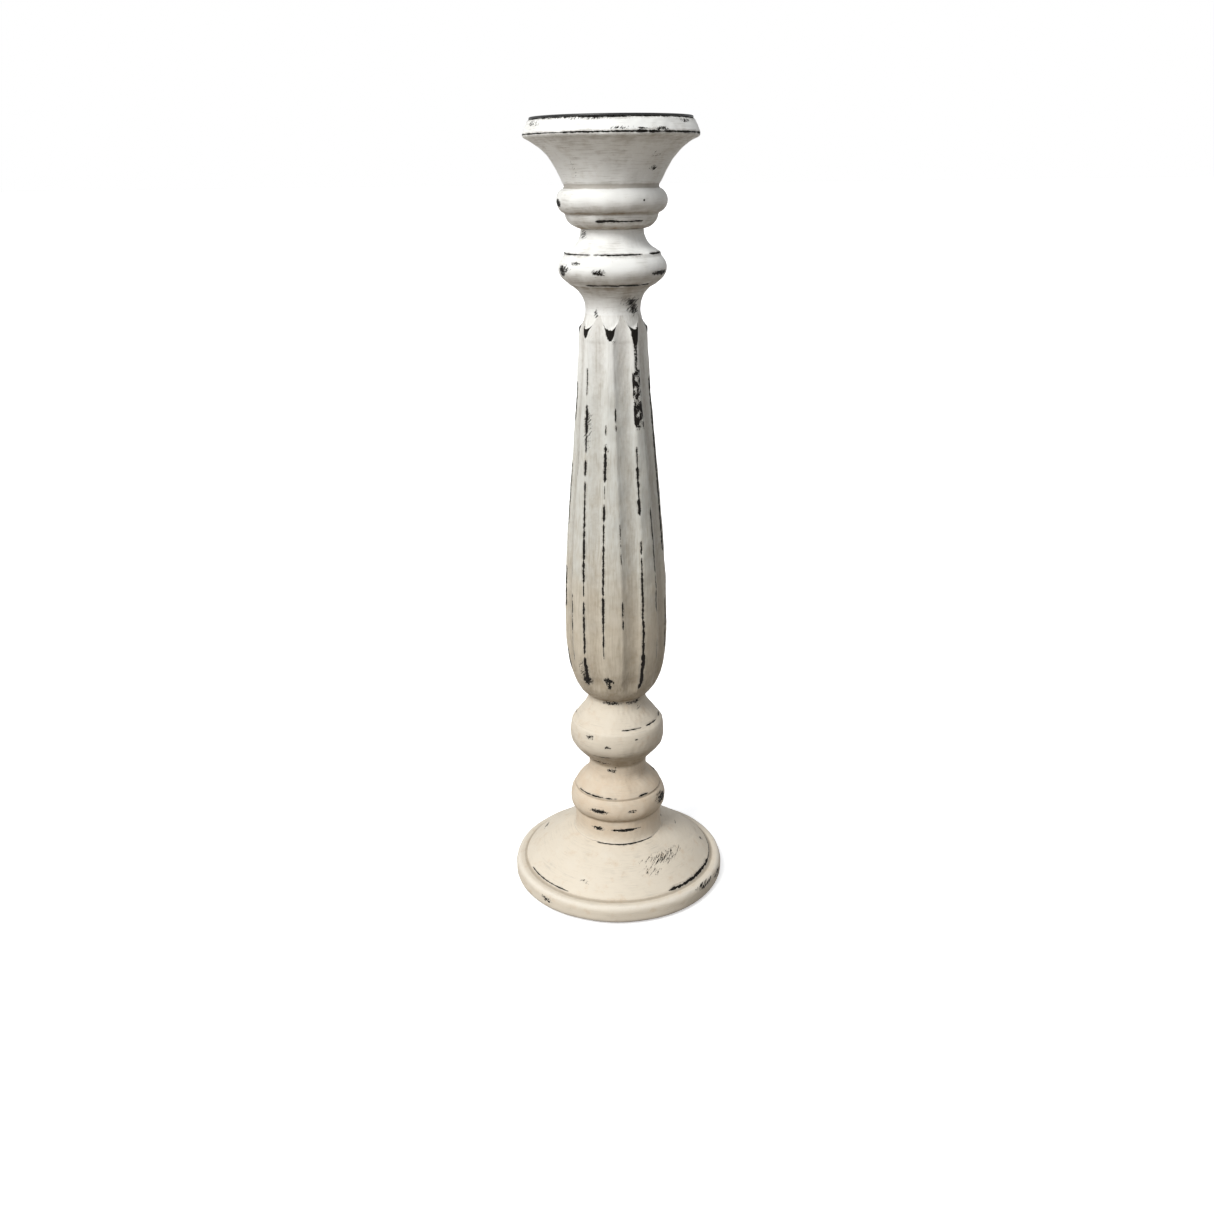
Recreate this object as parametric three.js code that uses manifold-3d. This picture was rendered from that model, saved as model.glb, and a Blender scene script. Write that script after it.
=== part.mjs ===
// A turned wooden candlestick for a pillar candle. A wide foot carries one long column with a fluted shaft, and
// the column carries a bell-shaped cup with a steel pan let into its top. The column's tenons are glued into
// the foot and the cup, and a wood screw with a washer holds each joint. The foot stands on four felt pads.
//
// Millimetres, +Z up. The Z axis is the axis of the turning and z = 0 is the surface that the pads stand on.
// One rib of the fluted shaft faces the front, -Y.

import * as THREE from "three";
import { mergeVertices } from "three/addons/utils/BufferGeometryUtils.js";
import Module from "manifold-3d";

const wasm = await Module();
wasm.setup();

// Overall sizes.
const overallHeight = 457;
const footRadius = 66.5;
const cupRadius = 47.4;
const shaftRadius = 30.7;
const clearance = 0.3; // between a tenon, a pan or a screw and the hole that it goes into

// Heights of the seats between the pieces.
const feltThickness = 1.5;
const footTop = 33.8;
const cupBase = 401;
const panThickness = 1.1;
const cupTop = overallHeight - panThickness;

// The tenons and their sockets.
const tenonRadius = 11;
const footSocketFloor = 15;
const cupSocketTop = 423;

// The screws, their washers and the holes for them.
const screwRadius = 2.5;
const screwHeadRadius = 5;
const screwHeadHeight = 2.8;
const washerRadius = 7;
const washerThickness = 1.5;
const counterboreRadius = 8;
const footCounterboreTop = 9;
const cupCounterboreFloor = 444.5;
const footScrewLength = 45;
const cupScrewLength = 55;
const tipLength = 5;

// The pan: a flat flange, a shallow shoulder in the wall, and a flat floor.
const flangeRadius = 43.5;
const panOpeningRadius = 39;
const panFloorRadius = 36.8;
const panDepth = 5;

// The fluted shaft.
const fluteCount = 8;
const fluteCutterRadius = 12.5;
const fluteDepth = 2.3;
const shoulderHeight = 348.5; // where the ribs begin, under the neck
const bellyHeight = 170.5; // where the shaft is widest
const shaftBase = 127; // where the shaft ends in the neck above the lower knop

// The felt pads.
const padCount = 4;
const padRadius = 8;
const padCircleRadius = 46;

// Facets.
const turningFacets = 40;
const hardwareFacets = 20;
const cutterFacets = 30;
const fluteSteps = 7;

const materials = {
  paintedWood: () => new THREE.MeshStandardMaterial({ color: 0xe6ded2, roughness: 0.75, metalness: 0 }),
  panSteel: () => new THREE.MeshStandardMaterial({ color: 0x1b1b1a, roughness: 0.4, metalness: 0.3 }),
  zincSteel: () => new THREE.MeshStandardMaterial({ color: 0xb4b6b8, roughness: 0.35, metalness: 1 }),
  felt: () => new THREE.MeshStandardMaterial({ color: 0x4a3a2c, roughness: 1, metalness: 0 }),
};

// Points and curves of an outline, in the plane of radius and height.
const at = (radius, height) => new THREE.Vector2(radius, height);
const bend = (from, corner, to, steps) => new THREE.QuadraticBezierCurve(from, corner, to).getPoints(steps);
const sweep = (from, leave, arrive, to, steps) =>
  new THREE.CubicBezierCurve(from, leave, arrive, to).getPoints(steps);

// A geometry with its shared vertices merged and its flat triangles, such as those on the axis, left out.
function welded(geometry) {
  geometry.deleteAttribute("normal");
  geometry.deleteAttribute("uv");
  const merged = mergeVertices(geometry, 1e-4);
  const corners = merged.index.array;
  const kept = [];
  for (let i = 0; i < corners.length; i += 3) {
    const [a, b, c] = corners.slice(i, i + 3);
    if (a !== b && b !== c && c !== a) kept.push(a, b, c);
  }
  merged.setIndex(kept);
  return merged;
}

// A solid turned about the Z axis. Its outline goes up the outside, and it starts and ends on the axis or
// closes on itself.
function turned(outline, facets = turningFacets) {
  const points = outline.filter((point, i) => i === 0 || point.distanceTo(outline[i - 1]) > 1e-6);
  return welded(new THREE.LatheGeometry(points, facets).rotateX(Math.PI / 2));
}

function asManifold(geometry) {
  const vertProperties = new Float32Array(geometry.getAttribute("position").array);
  const triVerts = new Uint32Array(geometry.index.array);
  return new wasm.Manifold(new wasm.Mesh({ numProp: 3, vertProperties, triVerts }));
}

function asGeometry(manifold) {
  const { vertProperties, triVerts } = manifold.getMesh();
  const geometry = new THREE.BufferGeometry();
  geometry.setAttribute("position", new THREE.BufferAttribute(vertProperties, 3));
  geometry.setIndex(new THREE.BufferAttribute(triVerts, 1));
  return geometry;
}

function part(name, geometry, material) {
  const shaded = geometry.toNonIndexed();
  shaded.computeVertexNormals();
  const mesh = new THREE.Mesh(shaded, material());
  mesh.name = name;
  return mesh;
}

// A wide disc with a rounded edge and an ogee that rises to the column. The column's tenon stands in a socket
// from above, and the screw's head and washer lie in a counterbore from below.
function foot() {
  const base = feltThickness;
  const edge = [
    ...bend(at(footRadius - 2.5, base), at(footRadius, base), at(footRadius, base + 3), 3),
    ...sweep(at(footRadius, 8), at(footRadius, 11.2), at(65.2, 12.8), at(62.2, 12.6), 4),
    ...bend(at(61.2, 12.5), at(59.6, 12.5), at(59.2, 14.1), 2),
  ];
  const ogee = sweep(at(59, 14.4), at(51.5, 21.5), at(44.5, 27.5), at(28.5, footTop), 6);
  const boreRadius = screwRadius + clearance;
  const socketRadius = tenonRadius + clearance;
  return turned([
    at(boreRadius, footCounterboreTop),
    at(counterboreRadius, footCounterboreTop),
    at(counterboreRadius, base),
    ...edge,
    ...ogee,
    at(socketRadius, footTop),
    at(socketRadius, footSocketFloor),
    at(boreRadius, footSocketFloor),
    at(boreRadius, footCounterboreTop),
  ]);
}

// The moulding at the column's base: a cove on the foot, a plain band, a torus, and a bell up to the first neck.
function baseMoulding() {
  return [
    ...bend(at(28.5, footTop), at(27.4, 35.6), at(27.2, 40), 2),
    at(27.2, 48.6),
    ...sweep(at(27.3, 49), at(30.9, 51), at(30.8, 58.5), at(27.6, 62.6), 4),
    at(26.6, 63.2),
    at(26.9, 64.6),
    ...sweep(at(26.6, 65), at(23.4, 71), at(18, 71.3), at(17.8, 77.8), 4),
  ];
}

// The knop under the shaft: a flat bead with a chamfer below it and a bell above it.
function lowerKnop() {
  return [
    at(17.8, 81.8),
    ...bend(at(18.2, 83), at(20.2, 85.2), at(27.2, 93), 2),
    ...sweep(at(27.4, 93.4), at(29.7, 96), at(29.7, 105), at(28, 108.8), 4),
    at(26.1, 110.8),
    ...sweep(at(25.7, 111.3), at(22, 117.3), at(18.6, 118.6), at(17.3, 124.9), 4),
  ];
}

const shaftBottom = new THREE.CubicBezierCurve(
  at(17.3, shaftBase),
  at(25.8, 130.2),
  at(shaftRadius, 146.5),
  at(shaftRadius, bellyHeight),
);
const shaftTop = new THREE.CubicBezierCurve(
  at(shaftRadius, bellyHeight),
  at(shaftRadius, 231),
  at(20.5, 297),
  at(19.3, shoulderHeight - 3),
);

// The shaft before it is fluted: full at the bottom, with a long taper up to the neck under the upper knop.
function shaft() {
  return [
    ...shaftBottom.getPoints(6),
    ...shaftTop.getPoints(6),
    ...bend(at(19.3, shoulderHeight - 2), at(19.1, shoulderHeight), at(17.4, shoulderHeight + 2), 3),
    ...sweep(at(17.1, 351), at(14.8, 356), at(14.9, 360.5), at(16.8, 365), 4),
    ...bend(at(16.8, 365), at(18.8, 369.3), at(23.6, 371.6), 3),
  ];
}

// The knop over the shaft, and the neck that goes up to the cup.
function upperKnop() {
  return [
    at(24.6, 372.5),
    ...sweep(at(24.9, 372.8), at(31.2, 377), at(31, 382.4), at(26.9, 386.6), 5),
    at(26.4, 388.5),
    at(24.8, 389.3),
    ...sweep(at(24.5, 389.6), at(20.8, 391.6), at(17.9, 393.8), at(17.3, cupBase), 4),
  ];
}

// The long cutter for one flute. Its floor follows the shaft, and leaves it at the neck and near the base.
function fluteCutter() {
  const axisDepth = fluteCutterRadius - fluteDepth;
  const floorTop = 17.2;
  const floorPoints = [
    at(26.6, shaftBase + 3),
    at(26.9, 138),
    at(28, 150.5),
    ...shaftTop.getPoints(6).map((point) => at(point.x - fluteDepth, point.y)),
    at(floorTop, shoulderHeight + 4),
    at(floorTop, shoulderHeight + 7),
  ];
  const path = new THREE.CatmullRomCurve3(
    floorPoints.map((floor) => new THREE.Vector3(floor.x + fluteDepth + axisDepth, 0, floor.y)),
    false,
    "centripetal",
  );
  const section = new THREE.Shape().absarc(0, 0, fluteCutterRadius, 0, 2 * Math.PI);
  const geometry = new THREE.ExtrudeGeometry(section, {
    extrudePath: path,
    steps: fluteSteps,
    curveSegments: cutterFacets,
    bevelEnabled: false,
  });
  return asManifold(welded(geometry));
}

// One long spindle, with a tenon at each end and a pilot hole for the screw in each tenon.
function column() {
  const pilotRadius = screwRadius + clearance;
  const tenonBottom = footSocketFloor + clearance;
  const tenonTop = cupSocketTop - clearance;
  const lowerPilotEnd = footCounterboreTop - washerThickness + footScrewLength + 1;
  const upperPilotEnd = cupCounterboreFloor + washerThickness - cupScrewLength - 1;
  let spindle = asManifold(
    turned([
      at(0, lowerPilotEnd),
      at(pilotRadius, lowerPilotEnd),
      at(pilotRadius, tenonBottom),
      at(tenonRadius, tenonBottom),
      at(tenonRadius, footTop),
      ...baseMoulding(),
      ...lowerKnop(),
      ...shaft(),
      ...upperKnop(),
      at(tenonRadius, cupBase),
      at(tenonRadius, tenonTop),
      at(pilotRadius, tenonTop),
      at(pilotRadius, upperPilotEnd),
      at(0, upperPilotEnd),
    ]),
  );
  const cutter = fluteCutter();
  for (let i = 0; i < fluteCount; i += 1) {
    const turn = (360 / fluteCount) * (i + 0.5) - 90;
    spindle = spindle.subtract(cutter.rotate([0, 0, turn]));
  }
  return asGeometry(spindle);
}

// The cup: a small moulding on the column's neck, a bead, a bell that opens to a bevelled band, and a recess for
// the pan. The column's tenon goes up into a socket, and the screw goes down to it from the recess.
function cup() {
  const boreRadius = screwRadius + clearance;
  const socketRadius = tenonRadius + clearance;
  const recessRadius = panOpeningRadius + panThickness + clearance;
  const recessFloor = overallHeight - panDepth - panThickness - clearance;
  const ovolo = bend(at(17.9, cupBase), at(24.6, 402.6), at(25.4, 408.6), 4);
  const bead = sweep(at(25.7, 408.9), at(31.6, 411), at(31.4, 420), at(25.9, 421.7), 5);
  const bell = sweep(at(26.9, 425), at(30.4, 434.5), at(36.5, 442), at(45.2, 446.2), 7);
  return turned([
    at(boreRadius, cupSocketTop),
    at(socketRadius, cupSocketTop),
    at(socketRadius, cupBase),
    ...ovolo,
    ...bead,
    at(25.7, 423.3),
    ...bell,
    ...bend(at(45.9, 446.5), at(cupRadius, 447.1), at(cupRadius, 448.6), 2),
    at(43.9, cupTop),
    at(recessRadius, cupTop),
    at(recessRadius, recessFloor),
    at(counterboreRadius, recessFloor),
    at(counterboreRadius, cupCounterboreFloor),
    at(boreRadius, cupCounterboreFloor),
    at(boreRadius, cupSocketTop),
  ]);
}

// A pan pressed from one sheet: the flange lies on the cup's rim and the wall goes down into the recess.
function candlePan() {
  const floorTop = overallHeight - panDepth;
  const floorBottom = floorTop - panThickness;
  const shoulderTop = overallHeight - 2.3;
  const shoulderRadius = panOpeningRadius - 0.9;
  return turned([
    at(0, floorBottom),
    at(panFloorRadius + 0.9, floorBottom),
    at(shoulderRadius + panThickness, shoulderTop - 1.2),
    at(panOpeningRadius + panThickness, shoulderTop - 0.8),
    at(panOpeningRadius + panThickness, cupTop),
    at(flangeRadius, cupTop),
    at(flangeRadius, overallHeight - 0.3),
    at(flangeRadius - 0.3, overallHeight),
    ...bend(at(panOpeningRadius + 0.8, overallHeight), at(panOpeningRadius, overallHeight),
      at(panOpeningRadius, overallHeight - 0.8), 2),
    at(panOpeningRadius, shoulderTop),
    at(shoulderRadius, shoulderTop - 0.5),
    at(panFloorRadius + 0.6, floorTop + 0.4),
    at(panFloorRadius, floorTop),
    at(0, floorTop),
  ]);
}

// A wood screw with its tip up and its head's bearing face at z = 0. A cross is cut into the head.
function woodScrew(length) {
  const body = turned(
    [
      at(0, -screwHeadHeight),
      at(screwHeadRadius - 2.4, -screwHeadHeight),
      ...bend(at(screwHeadRadius - 1.4, -screwHeadHeight), at(screwHeadRadius, -2.2), at(screwHeadRadius, -1), 3),
      at(screwHeadRadius, 0),
      at(screwRadius, 0),
      at(screwRadius, length - tipLength),
      at(0, length),
    ],
    hardwareFacets,
  );
  const slotLength = 5;
  const slotWidth = 1.1;
  const slotDepth = 1.8;
  const slot = (x, y) =>
    asManifold(
      welded(new THREE.BoxGeometry(x, y, 2 * slotDepth).translate(0, 0, -screwHeadHeight)),
    );
  const cross = slot(slotLength, slotWidth).add(slot(slotWidth, slotLength));
  return asGeometry(asManifold(body).subtract(cross));
}

// A flat washer with its underside at z = 0.
function washer() {
  const holeRadius = screwRadius + clearance;
  return turned(
    [
      at(holeRadius, 0),
      at(washerRadius, 0),
      at(washerRadius, washerThickness),
      at(holeRadius, washerThickness),
      at(holeRadius, 0),
    ],
    hardwareFacets,
  );
}

function feltPad() {
  return turned(
    [
      at(0, 0),
      at(padRadius - 0.3, 0),
      at(padRadius, 0.3),
      at(padRadius, feltThickness),
      at(0, feltThickness),
    ],
    hardwareFacets,
  );
}

const candlestick = new THREE.Group();
candlestick.add(
  part("foot", foot(), materials.paintedWood),
  part("column", column(), materials.paintedWood),
  part("cup", cup(), materials.paintedWood),
  part("candle_pan", candlePan(), materials.panSteel),
);

const footWasher = part("foot_washer", washer(), materials.zincSteel);
footWasher.position.z = footCounterboreTop - washerThickness;
const footScrew = part("foot_screw", woodScrew(footScrewLength), materials.zincSteel);
footScrew.position.z = footCounterboreTop - washerThickness;

const cupWasher = part("cup_washer", washer(), materials.zincSteel);
cupWasher.position.z = cupCounterboreFloor;
const cupScrew = part("cup_screw", woodScrew(cupScrewLength), materials.zincSteel);
cupScrew.position.z = cupCounterboreFloor + washerThickness;
cupScrew.rotation.x = Math.PI;

candlestick.add(footWasher, footScrew, cupWasher, cupScrew);

for (let i = 0; i < padCount; i += 1) {
  const turn = ((i + 0.5) * 2 * Math.PI) / padCount;
  const pad = part(`felt_pad_${i + 1}`, feltPad(), materials.felt);
  pad.position.set(padCircleRadius * Math.cos(turn), padCircleRadius * Math.sin(turn), 0);
  candlestick.add(pad);
}

export default candlestick;
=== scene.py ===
"""The looks of a turned wooden candlestick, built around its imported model.

The wood is remade as fine meshes: each piece is an outline turned about the Z axis, with the shaft's flutes,
the small unevenness of hand work and the chips of the rubbed-down paint in the mesh itself. Per-vertex
attributes tell the paint where the arrises, the hollows and the rubbed places are.

Outlines are in millimetres, as (radius, height). Azimuths are in degrees, 0 at the front (-Y) and positive to
the right as seen from there.
"""

import math

import bmesh
import bpy
import numpy as np
from mathutils import Matrix, Vector


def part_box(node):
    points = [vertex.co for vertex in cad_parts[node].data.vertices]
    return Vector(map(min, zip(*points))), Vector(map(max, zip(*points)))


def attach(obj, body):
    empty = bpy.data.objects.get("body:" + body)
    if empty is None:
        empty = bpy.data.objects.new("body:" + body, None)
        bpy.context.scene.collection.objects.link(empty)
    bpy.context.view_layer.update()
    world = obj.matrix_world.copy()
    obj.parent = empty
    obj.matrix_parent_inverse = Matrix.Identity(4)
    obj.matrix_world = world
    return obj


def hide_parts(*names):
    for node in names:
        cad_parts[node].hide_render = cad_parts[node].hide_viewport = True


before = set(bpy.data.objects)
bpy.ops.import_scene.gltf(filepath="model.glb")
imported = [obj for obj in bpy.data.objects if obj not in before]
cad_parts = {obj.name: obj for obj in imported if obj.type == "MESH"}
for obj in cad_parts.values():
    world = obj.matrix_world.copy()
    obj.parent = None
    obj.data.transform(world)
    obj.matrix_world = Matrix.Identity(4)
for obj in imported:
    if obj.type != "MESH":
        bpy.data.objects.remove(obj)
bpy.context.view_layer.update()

MM = 0.001

# ---- sizes, from the frame ----


def node_size(node):
    """(lowest height, highest height, largest radius) of a CAD node that is turned about the axis, in mm."""
    low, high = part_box(node)
    return low.z / MM, high.z / MM, high.x / MM


FOOT_BASE, FOOT_TOP, FOOT_RADIUS = node_size("foot")
CUP_BASE, CUP_TOP, CUP_RADIUS = node_size("cup")
TENON_BOTTOM, TENON_TOP, SHAFT_RADIUS = node_size("column")
PAN_BOTTOM, PAN_TOP, FLANGE_RADIUS = node_size("candle_pan")

TENON_RADIUS = 11.0
SOCKET_RADIUS = 11.3
BORE_RADIUS = 2.8
COUNTERBORE_RADIUS = 8.0
FOOT_COUNTERBORE_TOP = node_size("foot_washer")[1]
FOOT_SOCKET_FLOOR = TENON_BOTTOM - 0.3
CUP_COUNTERBORE_FLOOR = node_size("cup_washer")[0]
CUP_SOCKET_TOP = TENON_TOP + 0.3
RECESS_RADIUS = 40.4
RECESS_FLOOR = PAN_BOTTOM - 0.3
PAN_OPENING = 39.0

# The fluted shaft.
RIBS = 8
PITCH = 360 / RIBS
CUTTER_RADIUS = 12.5
FLUTE_DEPTH = 2.3
SHAFT_BASE = 127.0
BELLY = 170.5
SHOULDER = 349.0

# ---- outlines ----


def curve(*control, steps=80):
    """Points along a Bezier curve with two, three or four control points."""
    t = np.linspace(0, 1, steps)[:, None]
    points = [np.array(p, float) for p in control]
    while len(points) > 1:
        points = [a * (1 - t) + b * t for a, b in zip(points, points[1:])]
    return points[0]


def corners(*points):
    return np.array(points, float)


def distances(points):
    """How far along the polyline each point lies."""
    return np.concatenate([[0], np.cumsum(np.linalg.norm(np.diff(points, axis=0), axis=1))])


class Outline:
    """A smooth outline of a turned piece, sampled finely at its arrises and more loosely in between."""

    def __init__(self, pieces, edges, rounding=0.3, fine=0.3, loose=0.85):
        points = np.vstack(pieces)
        along = distances(points)
        keep = np.concatenate([[True], np.diff(along) > 1e-6])
        points, along = points[keep], along[keep]
        step = 0.1
        even = np.arange(0, along[-1], step)
        dense = np.column_stack([np.interp(even, along, points[:, i]) for i in (0, 1)])
        dense = blurred(dense, rounding / step)
        self.edges = {name: even[np.argmin(np.hypot(*(dense - spot).T))] for name, spot in edges.items()}
        places = np.array(sorted(self.edges.values())) if edges else np.array([-1e6])
        samples = [0.0]
        while samples[-1] < even[-1]:
            away = np.min(np.abs(places - samples[-1]))
            samples.append(samples[-1] + fine + (loose - fine) * min(1, max(0, away - 1.5) / 3))
        samples[-1] = even[-1]
        self.along = np.array(samples)
        self.radius = np.interp(self.along, even, dense[:, 0])
        self.height = np.interp(self.along, even, dense[:, 1])
        wide = blurred(dense, 1.6 / step)
        slope = np.gradient(dense, axis=0)
        normal = np.column_stack([slope[:, 1], -slope[:, 0]]) / np.linalg.norm(slope, axis=1)[:, None]
        crest = np.sum((dense - wide) * normal, axis=1)
        self.relief = np.interp(self.along, even, crest)
        self.normal = np.column_stack([np.interp(self.along, even, normal[:, i]) for i in (0, 1)])

    def at_height(self, height):
        """How far along the outline the given height is."""
        return float(np.interp(height, np.maximum.accumulate(self.height), self.along))


def blurred(points, sigma):
    """The polyline smoothed by a Gaussian, with its ends kept."""
    reach = int(3 * sigma) + 1
    weights = np.exp(-0.5 * (np.arange(-reach, reach + 1) / sigma) ** 2)
    weights /= weights.sum()
    before = 2 * points[0] - points[reach:0:-1]
    after = 2 * points[-1] - points[-2 : -reach - 2 : -1]
    padded = np.vstack([before, points, after])
    return np.column_stack([np.convolve(padded[:, i], weights, "valid") for i in (0, 1)])


def foot_outline():
    radius, base = FOOT_RADIUS, FOOT_BASE
    return Outline(
        [
            curve((radius - 2.5, base), (radius, base), (radius, base + 3)),
            curve((radius, 8), (radius, 11.2), (65.2, 12.8), (62.2, 12.6)),
            curve((61.2, 12.5), (59.6, 12.5), (59.2, 14.1)),
            curve((59, 14.4), (51.5, 21.5), (44.5, 27.5), (28.5, FOOT_TOP)),
            corners((SOCKET_RADIUS, FOOT_TOP)),
        ],
        {"foot_arris": (59.1, 14.2), "foot_joint": (28.5, FOOT_TOP)},
    )


def shaft_curve():
    """The shaft's outside along a rib, from its base up to the shoulder."""
    return np.vstack(
        [
            curve((17.3, SHAFT_BASE), (25.8, 130.2), (SHAFT_RADIUS, 146.5), (SHAFT_RADIUS, BELLY)),
            curve((SHAFT_RADIUS, BELLY), (SHAFT_RADIUS, 231), (20.5, 297), (19.3, SHOULDER - 3)),
        ]
    )


def column_outline():
    return Outline(
        [
            corners((TENON_RADIUS, FOOT_TOP)),
            curve((28.5, FOOT_TOP), (27.4, 35.6), (27.2, 40)),
            corners((27.2, 48.6)),
            curve((27.3, 49), (30.9, 51), (30.8, 58.5), (27.6, 62.6)),
            corners((26.6, 63.2), (26.9, 64.6)),
            curve((26.6, 65), (23.4, 71), (18, 71.3), (17.8, 77.8)),
            corners((17.8, 81.8)),
            curve((18.2, 83), (20.2, 85.2), (27.2, 93)),
            curve((27.4, 93.4), (29.7, 96), (29.7, 105), (28, 108.8)),
            corners((26.1, 110.8)),
            curve((25.7, 111.3), (22, 117.3), (18.6, 118.6), (17.3, 124.9)),
            shaft_curve(),
            corners((19.1, SHOULDER)),
            curve((17.1, SHOULDER + 2.5), (14.8, 356), (14.9, 360.5), (16.8, 365)),
            curve((16.8, 365), (18.8, 369.3), (23.6, 371.6)),
            corners((24.6, 372.5)),
            curve((24.9, 372.8), (31.2, 377), (31, 382.4), (26.9, 386.6)),
            corners((26.4, 388.5), (24.8, 389.3)),
            curve((24.5, 389.6), (20.8, 391.6), (17.9, 393.8), (17.3, CUP_BASE)),
            corners((TENON_RADIUS, CUP_BASE)),
        ],
        {
            "base": (28.5, FOOT_TOP),
            "plinth_top": (26.9, 64.8),
            "low_knop_foot": (27.2, 93.1),
            "low_knop_top": (25.9, 111.0),
            "knop_foot": (24.6, 372.5),
            "knop_top": (26.4, 388.6),
            "neck_top": (17.3, CUP_BASE),
        },
    )


def cup_outline():
    return Outline(
        [
            corners((SOCKET_RADIUS, CUP_BASE)),
            curve((17.9, CUP_BASE), (24.6, 402.6), (25.4, 408.6)),
            curve((25.7, 408.9), (31.6, 411), (31.4, 420), (25.9, 421.7)),
            corners((25.7, 423.3)),
            curve((26.9, 425), (30.4, 434.5), (36.5, 442), (45.2, 446.2)),
            curve((45.9, 446.5), (CUP_RADIUS, 447.1), (CUP_RADIUS, 448.6)),
            corners((43.9, CUP_TOP), (RECESS_RADIUS, CUP_TOP)),
        ],
        {
            "ovolo": (24.5, 405.0),
            "bead_foot": (25.7, 408.9),
            "bell_foot": (26.5, 424.8),
            "band": (47.4, 448.4),
            "rim": (43.9, CUP_TOP),
        },
    )


# ---- wear, listed and at random ----

# Arrises rubbed through to the dark undercoat, by edge: azimuth from, azimuth to, width of the line in mm.
ARRIS_STROKES = {
    "rim": [(-100, 100, 1.5), (-20, 16, 2.1), (50, 84, 1.8)],
    "band": [(-96, -40, 0.9), (-40, -30, 0.6), (-30, 16, 1.1), (14, 34, 1.7), (34, 96, 1.3)],
    "ovolo": [(-17, 12, 2.0), (10, 44, 1.0)],
    "knop_top": [(-90, -44, 1.6), (-44, -25, 1.1), (-18, 39, 1.4), (53, 80, 1.6)],
    "knop_foot": [(-32, 6, 1.4), (4, 54, 1.6)],
    "low_knop_top": [(10, 36, 0.8), (47, 68, 1.2), (84, 96, 1.2)],
    "low_knop_foot": [(-30, -6, 0.5)],
    "plinth_top": [(-60, -36, 0.9), (-36, -6, 1.3), (-2, 1, 0.6), (33, 46, 1.4)],
    "foot_joint": [(-24, 4, 1.0), (2, 27, 2.0), (27, 50, 1.1)],
    "foot_arris": [(-64, -30, 1.0), (36, 78, 2.4), (78, 116, 0.9)],
}

# Rib edges rubbed through, by rib (0 at the front, 1 to its right) and side: height from, height to, width.
LEFT, RIGHT = -1, 1
RIB_STROKES = {
    (-1, LEFT): [
        (274, 285, 1.0), (267, 272, 1.0), (207, 216, 1.1), (173, 196, 3.4), (161, 173, 2.4),
        (154, 161, 2.8),
    ],
    (-1, RIGHT): [
        (313, 328, 0.5), (291, 307, 1.7), (281, 291, 0.8), (268, 276, 1.3), (250, 264, 0.9),
        (219, 250, 1.4), (205, 218, 1.5), (197, 204, 0.6), (161, 193, 1.3), (140, 158, 2.2),
    ],
    (0, LEFT): [
        (292, 297, 0.7), (266, 285, 2.1), (256, 263, 0.6), (243, 252, 1.8), (199, 241, 1.5),
        (182, 198, 2.0), (167, 182, 1.3), (160, 167, 0.7),
    ],
    (0, RIGHT): [(299, 306, 1.0), (294, 297, 0.6), (228, 241, 0.6), (218, 224, 0.5), (179, 195, 1.0)],
    (1, LEFT): [
        (274, 284, 1.0), (261, 273, 1.7), (255, 261, 0.8), (246, 255, 1.9), (223, 230, 1.2),
        (212, 220, 0.9), (193, 212, 1.4), (176, 193, 1.8), (161, 176, 1.8), (138, 161, 2.4),
    ],
    (1, RIGHT): [(210, 248, 2.3), (200, 208, 2.0), (186, 199, 2.4), (156, 168, 1.3)],
    (2, LEFT): [(220, 321, 1.5), (159, 190, 0.8)],
}

# Rubbed patches, by piece: azimuth, height, width and height in mm, strength.
PATCHES = {
    "cup": [
        (-70, 414.4, 7, 3.6, 1.3), (36, 449.6, 9, 2.0, 0.8), (61, 453.8, 7, 2.6, 0.72),
        (22, 450.0, 6, 1.6, 0.75), (-30, 455.4, 12, 1.6, 0.62), (-60, 453.0, 8, 1.8, 0.55),
    ],
    "column": [
        (-64, 379.6, 8, 6, 1.05), (-40, 383.9, 7, 2.4, 0.8), (-12, 379.2, 9, 3.2, 0.72),
        (64, 378.4, 15, 2.8, 1.0), (-8, 125.6, 13, 3, 0.82), (40, 125.2, 13, 3, 0.76),
        (-32, 106.1, 6, 3.0, 0.80), (-9, 100.9, 4.5, 2.4, 0.78), (26, 105.4, 2.4, 1.6, 0.7),
        (-8, 79.6, 7, 3.6, 0.74), (34, 84.4, 5, 2, 0.7), (74, 57.2, 10, 6, 0.86),
        (-22, 56.6, 13, 2.8, 0.95), (20, 57.0, 6, 2.4, 0.8), (-25, 43, 9, 2.6, 0.95),
        (12, 42.7, 17, 2.0, 1.1), (-37, 143.0, 6, 8, 0.9), (-7.5, 144.5, 6, 5.5, 0.92),
        (-6.0, 140.5, 2.5, 4, 1.0),
    ],
    "foot": [(-40, 8.0, 10, 4, 0.7), (-20, 20.0, 8, 3, 0.6)],
}

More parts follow.
